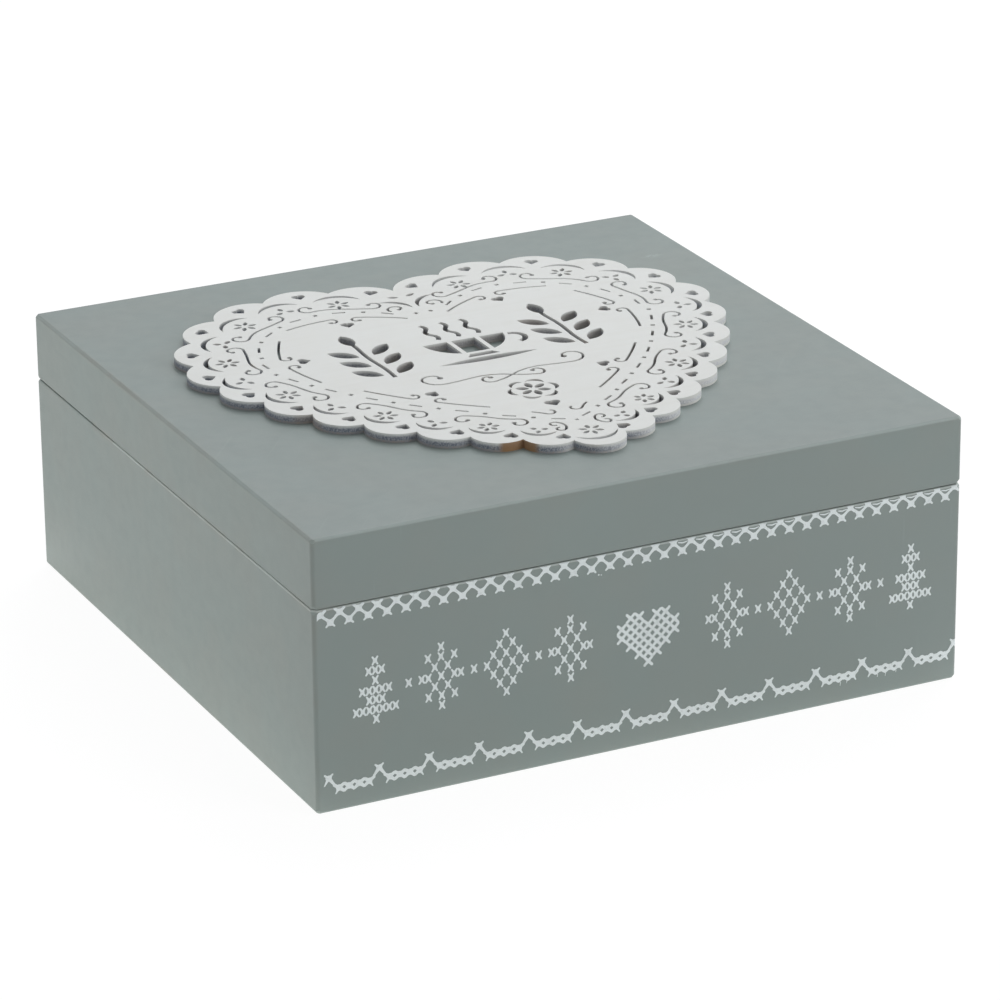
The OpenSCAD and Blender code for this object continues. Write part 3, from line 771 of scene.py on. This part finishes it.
def set_camera(stage):
    """The camera, placed and aimed by the settings."""
    level_share = math.cos(stage.elevation)
    back = Vector((math.sin(stage.azimuth) * level_share,
                   -math.cos(stage.azimuth) * level_share, math.sin(stage.elevation)))
    level = Vector((math.cos(stage.azimuth), math.sin(stage.azimuth), 0.0))
    upright = back.cross(level)
    right = math.cos(stage.roll) * level + math.sin(stage.roll) * upright
    up = math.cos(stage.roll) * upright - math.sin(stage.roll) * level
    place = back * stage.distance + right * stage.aim[0] + up * stage.aim[1]
    lens = bpy.data.cameras.new("camera")
    lens.sensor_width = 36.0
    lens.lens = stage.lens
    lens.clip_start, lens.clip_end = 0.05, 50.0
    camera = add_object("camera", lens)
    camera.matrix_world = Matrix.Translation(place) @ Matrix(
        (right, up, back)).transposed().to_4x4()
    bpy.context.scene.camera = camera


def hang_lamp(name, power, place, size, tint):
    """A soft square lamp that points at the foot of the box."""
    lamp = bpy.data.lights.new(name, "AREA")
    lamp.energy, lamp.size, lamp.color = power, size, tint
    holder = add_object(name, lamp)
    holder.location = place
    holder.rotation_euler = Vector(place).to_track_quat("Z", "Y").to_euler()


def light_room(ambient):
    """Even light from all around, which the camera and the brass see as plain white."""
    world = bpy.data.worlds.new("studio")
    world.use_nodes = True
    world.node_tree.nodes.clear()
    w = Wiring(world.node_tree)
    rays = w.node("LightPath").outputs
    seen = w.largest(rays["Is Camera Ray"], rays["Is Glossy Ray"], rays["Is Transmission Ray"])
    sky = w.node("Background", {"Color": (1, 1, 1, 1),
                                "Strength": w.fade(seen, 0.0, 1.0, ambient, 1.0)})
    w.feed(w.node("OutputWorld").inputs["Surface"], sky.outputs[0])
    bpy.context.scene.world = world


def paper_material(stage):
    """Paper that the camera sees as white with a soft shadow, and that lights the box."""
    material, w = blank_material("pale_paper")
    _, parts = w.place()
    # The paper round the foot sends up more light, most of it on the left, and that in front less
    gap = w.largest(w.size(parts[0]), w.size(parts[1]))
    more = w.times(w.fade(gap, HALF_W + 38 * MM, HALF_W),
                   w.fade(parts[0], -HALF_W - 1 * MM, -HALF_W + 4 * MM, 1.0, 0.35))
    even = w.fade(parts[1], -HALF_W - 12 * MM, -HALF_W + 2 * MM, stage.glow * 0.35, stage.glow)
    lit = w.node("BsdfPrincipled", {
        "Base Color": (0.9, 0.9, 0.9, 1), "Roughness": 0.9, "Specular IOR Level": 0.0,
        "Emission Color": (1.0, 1.0, 0.96, 1),
        "Emission Strength": w.plus(w.times(more, stage.foot_glow), even)})
    seen = w.node("BsdfPrincipled", {
        "Base Color": (0.14, 0.14, 0.14, 1), "Roughness": 1.0, "Specular IOR Level": 0.0,
        "Emission Color": (1, 1, 1, 1), "Emission Strength": 0.93})
    rays = w.node("LightPath").outputs
    choice = w.node("MixShader", {0: rays["Is Camera Ray"], 1: lit.outputs[0],
                                  2: seen.outputs[0]})
    w.feed(w.node("OutputMaterial").inputs["Surface"], choice.outputs[0])
    return material


def lay_floor(stage):
    """A large sheet of paper just under the box."""
    reach, down = 6.0, 0.1 * MM
    mesh = bpy.data.meshes.new("floor")
    mesh.from_pydata([(x * reach, y * reach, -down)
                      for x, y in ((-1, -1), (1, -1), (1, 1), (-1, 1))], [], [(0, 1, 2, 3)])
    mesh.materials.append(paper_material(stage))
    add_object("floor", mesh)


# ---- settings ----

class KeeperFinish(bpy.types.PropertyGroup):
    """Colours and wear of the box."""

    paint: bpy.props.FloatVectorProperty(
        name="Paint", description="Grey-green paint of the boards", subtype="COLOR",
        size=3, min=0, max=1, default=(0.257, 0.301, 0.290))
    rubbed: bpy.props.FloatVectorProperty(
        name="Rubbed paint", description="Paint rubbed thin along the edges",
        subtype="COLOR", size=3, min=0, max=1, default=(0.27, 0.245, 0.205))
    wear: bpy.props.FloatProperty(
        name="Edge wear", description="How far the edges are rubbed", min=0, max=1,
        subtype="FACTOR", default=0.55)
    wear_reach: bpy.props.FloatProperty(
        name="Wear reach", description="How far from an edge the paint is rubbed",
        min=0.0005, max=0.01, subtype="DISTANCE", unit="LENGTH", precision=4,
        default=0.0016)
    marks: bpy.props.FloatProperty(
        name="Handling marks", description="Faint scratches and smears in the paint",
        min=0, max=1, subtype="FACTOR", default=0.12)
    scuff_place: bpy.props.FloatVectorProperty(
        name="Scuff place", description="Pale scuff on the lid, seen from above", size=2,
        subtype="COORDINATES", unit="LENGTH", precision=4, default=(0.0734, 0.0521))
    wood_light: bpy.props.FloatVectorProperty(
        name="Light wood", description="Bare wood inside, between the streaks",
        subtype="COLOR", size=3, min=0, max=1, default=(0.66, 0.48, 0.30))
    wood_dark: bpy.props.FloatVectorProperty(
        name="Dark wood", description="Streaks in the bare wood", subtype="COLOR",
        size=3, min=0, max=1, default=(0.44, 0.28, 0.15))
    whitewash: bpy.props.FloatVectorProperty(
        name="Whitewash", description="Chalky white on the heart", subtype="COLOR",
        size=3, min=0, max=1, default=(0.91, 0.918, 0.893))
    edge_light: bpy.props.FloatVectorProperty(
        name="Cut edge, light", description="Light specks on the cut edge of the heart",
        subtype="COLOR", size=3, min=0, max=1, default=(0.47, 0.49, 0.54))
    edge_dark: bpy.props.FloatVectorProperty(
        name="Cut edge, dark", description="Grey-blue core on the cut edge of the heart",
        subtype="COLOR", size=3, min=0, max=1, default=(0.20, 0.225, 0.275))
    inner_edge: bpy.props.FloatVectorProperty(
        name="Inner edges", description="Grey-brown inside the large cut-outs",
        subtype="COLOR", size=3, min=0, max=1, default=(0.44, 0.40, 0.38))
    scorch: bpy.props.FloatVectorProperty(
        name="Scorch", description="Browned patch on the cut edge", subtype="COLOR",
        size=3, min=0, max=1, default=(0.36, 0.20, 0.09))
    scorch_light: bpy.props.FloatVectorProperty(
        name="Tan", description="Bare wood that shows on the cut edges", subtype="COLOR",
        size=3, min=0, max=1, default=(0.42, 0.33, 0.26))
    scorch_place: bpy.props.FloatVectorProperty(
        name="Scorch place", description="Middle of the browned patch, seen from above",
        size=2, subtype="COORDINATES", unit="LENGTH", precision=4,
        default=(-0.0192, -0.0575))
    scorch_size: bpy.props.FloatProperty(
        name="Scorch size", description="Radius of the browned patch", min=0.001,
        max=0.02, subtype="DISTANCE", unit="LENGTH", precision=4, default=0.0055)
    brass: bpy.props.FloatVectorProperty(
        name="Brass", description="Hinge leaves, pins and screws", subtype="COLOR",
        size=3, min=0, max=1, default=(0.62, 0.46, 0.23))
    ink: bpy.props.FloatVectorProperty(
        name="Ink", description="White of the front print", subtype="COLOR", size=3,
        min=0, max=1, default=(0.80, 0.86, 0.87))
    ink_height: bpy.props.FloatProperty(
        name="Ink height", description="How far the print stands off the paint",
        min=0.00001, max=0.0002, subtype="DISTANCE", unit="LENGTH", precision=5,
        default=0.00005)
    print_tilt: bpy.props.FloatProperty(
        name="Print tilt", description="How far the print sits askew", min=-0.02,
        max=0.02, subtype="ANGLE", unit="ROTATION", default=math.radians(0.325))


class KeeperStage(bpy.types.PropertyGroup):
    """Camera, lamps and background."""

    azimuth: bpy.props.FloatProperty(
        name="Azimuth", description="Camera direction round the box, from the front",
        subtype="ANGLE", unit="ROTATION", default=math.radians(-26.006))
    elevation: bpy.props.FloatProperty(
        name="Elevation", description="Camera direction above the floor",
        subtype="ANGLE", unit="ROTATION", default=math.radians(21.885))
    roll: bpy.props.FloatProperty(
        name="Roll", description="Turn of the camera about its own line of sight",
        subtype="ANGLE", unit="ROTATION", default=math.radians(-0.518))
    distance: bpy.props.FloatProperty(
        name="Distance", description="From the camera to the box", subtype="DISTANCE",
        unit="LENGTH", default=1.2633)
    aim: bpy.props.FloatVectorProperty(
        name="Aim", description="Where the camera aims, right and up from the underside",
        size=2, unit="LENGTH", precision=4, default=(0.003115, 0.029604))
    lens: bpy.props.FloatProperty(
        name="Lens", description="Focal length on a 36 mm sensor", unit="CAMERA",
        default=181.833)
    key: bpy.props.FloatProperty(
        name="Overhead lamp", description="Power of the soft lamp above", unit="POWER",
        min=0, default=10.2)
    side: bpy.props.FloatProperty(
        name="Side lamp", description="Power of the soft lamp on the left",
        unit="POWER", min=0, default=1.2)
    front: bpy.props.FloatProperty(
        name="Front lamp", description="Power of the soft lamp at the front right",
        unit="POWER", min=0, default=5.3)
    ambient: bpy.props.FloatProperty(
        name="Ambient", description="Even light from all around", min=0, max=2,
        default=0.32)
    glow: bpy.props.FloatProperty(
        name="Floor glow", description="Light that the lit floor sends up", min=0, max=2,
        default=0.58)
    foot_glow: bpy.props.FloatProperty(
        name="Foot glow", description="More light from the floor close to the box", min=0,
        max=2, default=0.4)


# ---- operators ----

class KEEPER_OT_stage(bpy.types.Operator):
    """Camera, soft lamps, white background and floor"""

    bl_idname = "keeper.stage"
    bl_label = "Stage"

    def execute(self, context):
        stage = context.scene.keeper_stage
        context.scene.view_settings.view_transform = "Standard"
        set_camera(stage)
        hang_lamp("overhead_lamp", stage.key, (0.55, 0.65, 1.2), 1.2, (0.97, 1.0, 1.03))
        hang_lamp("side_lamp", stage.side, (-1.5, 0.35, 0.35), 1.1, (1.0, 1.0, 1.0))
        hang_lamp("front_lamp", stage.front, (0.9, -1.1, 0.45), 0.8, (1.0, 1.0, 1.0))
        light_room(stage.ambient)
        lay_floor(stage)
        return {"FINISHED"}


class KEEPER_OT_boards(bpy.types.Operator):
    """Painted boards, rails and panels, bare inside"""

    bl_idname = "keeper.boards"
    bl_label = "Painted boards"

    def execute(self, context):
        build_effects()
        look = context.scene.keeper_finish
        for name, nodes, order, low, high in (
                ("base_paint_across", BASE_ACROSS, ACROSS, 0.0, RIM_Z),
                ("base_paint_deep", BASE_DEEP, DEEP, 0.0, RIM_Z),
                ("lid_paint_across", LID_ACROSS, ACROSS, RIM_Z, LID_TOP),
                ("lid_paint_deep", LID_DEEP, DEEP, RIM_Z, LID_TOP)):
            dress(nodes, painted_board_material(name, order, low, high, look))
        return {"FINISHED"}


class KEEPER_OT_dividers(bpy.types.Operator):
    """Bare plywood dividers"""

    bl_idname = "keeper.dividers"
    bl_label = "Dividers"

    def execute(self, context):
        build_effects()
        look = context.scene.keeper_finish
        dress(["long_divider"], divider_material("veneer_across", ACROSS, look))
        dress(["cross_divider"], divider_material("veneer_deep", DEEP, look))
        return {"FINISHED"}


class KEEPER_OT_heart(bpy.types.Operator):
    """Whitewashed fretwork heart on the lid"""

    bl_idname = "keeper.heart"
    bl_label = "Fretwork heart"

    def execute(self, context):
        build_effects()
        dress(["heart_plaque"], heart_material(context.scene.keeper_finish))
        return {"FINISHED"}


class KEEPER_OT_hinges(bpy.types.Operator):
    """Brass leaves, pins and screws"""

    bl_idname = "keeper.hinges"
    bl_label = "Hinges"

    def execute(self, context):
        build_effects()
        look = context.scene.keeper_finish
        for nodes, name, scale, dull in ((LEAF_NODES, "leaf_brass", 1.0, 0.3),
                                         (PIN_NODES, "pin_brass", 3.0, 0.24),
                                         (SCREW_NODES, "screw_brass", 6.0, 0.34)):
            dress(nodes, brass_material(name, look, scale, dull))
        return {"FINISHED"}


class KEEPER_OT_borders(bpy.types.Operator):
    """Cross-stitch lace borders under the rim and over the foot"""

    bl_idname = "keeper.borders"
    bl_label = "Printed borders"

    def execute(self, context):
        build_effects()
        look = context.scene.keeper_finish
        hand = random.Random(11)
        printed("print_upper_border", upper_border(look, hand), look)
        printed("print_lower_border", lower_border(look, hand), look)
        return {"FINISHED"}


class KEEPER_OT_stitched_heart(bpy.types.Operator):
    """Cross-stitch heart in the middle of the front"""

    bl_idname = "keeper.stitched_heart"
    bl_label = "Printed heart"

    def execute(self, context):
        build_effects()
        look = context.scene.keeper_finish
        hand = random.Random(23)
        pitch, rise, middle_x, top_z = 2.32, 2.35, 0.53, 32.73
        across, up = pitch / 2 * 0.88, rise / 2 * 0.88
        arms = mirrored((across, up, 0.68), (across, -up, 0.68))
        stitches = []
        # Stitches on either side of the middle of each row. The top row has a dip there
        for row, reach in enumerate((2, 3, 3, 2, 1, 0)):
            for column in range(-reach, reach + 1):
                if row or column:
                    spot = tilted(middle_x + pitch * column, top_z - rise * row, look)
                    stitches += cross_stitch(*spot, arms, root=0.86, blob=0.6, hand=hand)
        printed("print_heart", stitches, look)
        return {"FINISHED"}


class KEEPER_OT_motifs(bpy.types.Operator):
    """Rows of small cross-stitch motifs on both sides of the heart"""

    bl_idname = "keeper.motifs"
    bl_label = "Printed motifs"

    def execute(self, context):
        build_effects()
        look = context.scene.keeper_finish
        hand = random.Random(37)
        pitch, rise, top_z = 1.665, 2.438, 35.7
        wide, middle_row, gap = len(STAR[0]), len(STAR) // 2, 3
        arms = mirrored((0.66, 0.95, 0.44), (0.66, -0.95, 0.44))
        order = (TREE, STAR, LATTICE, STAR)
        for name, charts, start in (("print_left_motifs", order, -74.75),
                                    ("print_right_motifs", order[::-1], 16.6)):
            stitches = []
            for number, chart in enumerate(charts):
                first = start + number * (wide + gap) * pitch
                marked = [(column, row) for row, line in enumerate(chart)
                          for column, mark in enumerate(line) if mark == "x"]
                if number < len(charts) - 1:
                    marked.append((wide + (gap - 1) / 2, middle_row))
                for column, row in marked:
                    spot = tilted(first + pitch * column, top_z - rise * row, look)
                    stitches += cross_stitch(*spot, arms, root=0.74, blob=0.54, hand=hand)
            printed(name, stitches, look)
        return {"FINISHED"}


class KEEPER_PT_panel(bpy.types.Panel):
    """Lists the pieces of the box and their settings"""

    bl_idname = "KEEPER_PT_panel"
    bl_label = "Keeper Box"
    bl_space_type = "VIEW_3D"
    bl_region_type = "UI"
    bl_category = "Keeper Box"

    def draw(self, context):
        for made in OPERATORS:
            self.layout.operator(made.bl_idname)
        for group in (context.scene.keeper_finish, context.scene.keeper_stage):
            column = self.layout.column()
            for key in group.__annotations__:
                column.prop(group, key)


OPERATORS = (KEEPER_OT_stage, KEEPER_OT_boards, KEEPER_OT_dividers, KEEPER_OT_heart,
             KEEPER_OT_hinges, KEEPER_OT_borders, KEEPER_OT_stitched_heart,
             KEEPER_OT_motifs)
CLASSES = (KeeperFinish, KeeperStage, *OPERATORS, KEEPER_PT_panel)


def register():
    for made in CLASSES:
        bpy.utils.register_class(made)
    bpy.types.Scene.keeper_finish = bpy.props.PointerProperty(type=KeeperFinish)
    bpy.types.Scene.keeper_stage = bpy.props.PointerProperty(type=KeeperStage)


def unregister():
    del bpy.types.Scene.keeper_stage
    del bpy.types.Scene.keeper_finish
    for made in reversed(CLASSES):
        bpy.utils.unregister_class(made)


def main():
    register()
    for made in OPERATORS:
        family, action = made.bl_idname.split(".")
        getattr(getattr(bpy.ops, family), action)()


if __name__ == "__main__":
    main()
